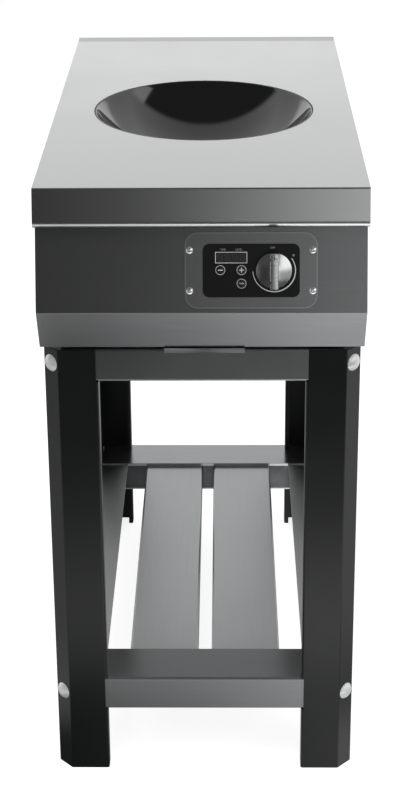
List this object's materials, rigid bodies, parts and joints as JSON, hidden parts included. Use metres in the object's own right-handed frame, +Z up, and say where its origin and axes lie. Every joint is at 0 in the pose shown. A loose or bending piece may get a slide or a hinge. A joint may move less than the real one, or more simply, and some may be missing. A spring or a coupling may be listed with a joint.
{
  "type": "wok burner",
  "caption": "Induction wok cooker with a black glass bowl in a steel worktop, sloping control panel with knob and keys, pull-out air filter, and a legged stand with a slatted shelf.",
  "frame": {"origin": "on the floor under the middle of the whole object's box", "axes": "+Z up, front with the controls facing -Y, +X to the right seen from the front"},
  "size_m": [0.4, 0.789, 0.8193],
  "materials": {
    "worktop_steel": "brushed stainless steel",
    "housing_steel": "brushed stainless steel",
    "glass_ceramic": "polished black glass-ceramic",
    "seal_rubber": "matt black sealant",
    "foot_rubber": "matt black rubber",
    "overlay_black": "smooth black film",
    "display_smoke": "smoked window",
    "key_black": "satin black",
    "knob_silver": "satin silver",
    "zinc_steel": "bright zinc plate",
    "leg_coat": "black powder coat",
    "inner_plastic": "moulded black",
    "carrier_plastic": "moulded cream",
    "coil_copper": "lacquered copper",
    "board_green": "solder resist",
    "sink_aluminium": "extruded",
    "ferrite_grey": "sintered",
    "filter_steel": "bent sheet"
  },
  "bodies": {
    "cooker": {"worktop": "worktop_steel", "bowl_seal": "seal_rubber", "wok_bowl": "glass_ceramic", "bowl_ring": "housing_steel", "front_panel": "housing_steel", "left_side": "housing_steel", "right_side": "housing_steel", "rear_panel": "housing_steel", "rear_panel_screws": "zinc_steel", "base_plate": "housing_steel", "housing_feet": "foot_rubber", "control_plate": "housing_steel", "control_plate_screws": "zinc_steel", "control_overlay": "overlay_black", "display_window": "display_smoke", "key_switches": "inner_plastic", "potentiometer": "inner_plastic", "potentiometer_nut": "zinc_steel", "control_board": "board_green", "board_standoffs": "zinc_steel", "induction_coil": "coil_copper", "coil_carrier": "carrier_plastic", "coil_posts": "zinc_steel", "ferrite_bars": "ferrite_grey", "temperature_probe": "zinc_steel", "generator_board": "board_green", "generator_standoffs": "zinc_steel", "heat_sink": "sink_aluminium", "capacitors": "inner_plastic", "fan_frame": "inner_plastic", "terminal_block": "carrier_plastic", "cable_gland": "inner_plastic", "gland_nut": "inner_plastic", "filter_runners": "zinc_steel", "front_left_leg": "leg_coat", "front_right_leg": "leg_coat", "rear_left_leg": "leg_coat", "rear_right_leg": "leg_coat", "upper_front_rail": "housing_steel", "upper_rear_rail": "housing_steel", "upper_left_rail": "housing_steel", "upper_right_rail": "housing_steel", "shelf_front_rail": "worktop_steel", "shelf_rear_rail": "worktop_steel", "shelf_left_rail": "worktop_steel", "shelf_right_rail": "worktop_steel", "left_slat": "worktop_steel", "right_slat": "worktop_steel", "leg_bolts": "zinc_steel", "leg_nuts": "zinc_steel", "leg_washers": "zinc_steel"},
    "knob": {"knob": "knob_silver", "control_shaft": "zinc_steel"},
    "minus_key": {"minus_key": "key_black"},
    "plus_key": {"plus_key": "key_black"},
    "timer_key": {"timer_key": "key_black"},
    "filter": {"filter_frame": "filter_steel", "filter_mesh": "filter_steel"},
    "fan": {"fan_rotor": "inner_plastic"}
  },
  "joints": [
    {"name": "knob_turn", "type": "hinge", "parent": "cooker", "child": "knob", "pos_m": [0.0863, -0.36717, 0.71874], "axis": [0, 0.9659, -0.2588], "range_deg": [0, 270]},
    {"name": "minus_key_press", "type": "slide", "parent": "cooker", "child": "minus_key", "axis": [0, 0.9659, -0.2588], "range_m": [0, 0.0006], "stiffness_N_per_m": 500},
    {"name": "plus_key_press", "type": "slide", "parent": "cooker", "child": "plus_key", "axis": [0, 0.9659, -0.2588], "range_m": [0, 0.0006], "stiffness_N_per_m": 500},
    {"name": "timer_key_press", "type": "slide", "parent": "cooker", "child": "timer_key", "axis": [0, 0.9659, -0.2588], "range_m": [0, 0.0006], "stiffness_N_per_m": 500},
    {"name": "filter_slide", "type": "slide", "parent": "cooker", "child": "filter", "axis": [0, -1, 0], "range_m": [0, 0.08]},
    {"name": "fan_spin", "type": "hinge", "parent": "cooker", "child": "fan", "pos_m": [0.003, -0.2435, 0.631], "axis": [0, 0, 1], "continuous": true}
  ]
}
